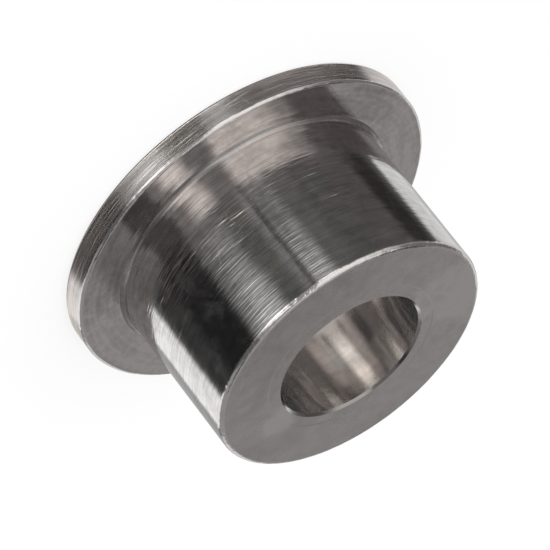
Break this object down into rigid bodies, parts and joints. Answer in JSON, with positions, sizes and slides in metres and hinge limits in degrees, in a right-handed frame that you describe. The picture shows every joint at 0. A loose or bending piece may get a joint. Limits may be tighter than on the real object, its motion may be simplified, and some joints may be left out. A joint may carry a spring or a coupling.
{
  "type": "flanged bushing",
  "caption": "Round steel bushing with a flange at one end and a plain through bore.",
  "frame": {"origin": "centre of the flange's back face, on which the bushing stands", "axes": "+Z along the bore axis, from the flange towards the nose; X and Y are any two directions across it"},
  "size_m": [0.024, 0.024, 0.0124],
  "materials": {
    "turned_steel": "bright turned steel, with fine lathe lines round the barrel and a satin nose face"
  },
  "bodies": {
    "root": {"flanged_bushing": "turned_steel"}
  },
  "joints": []
}
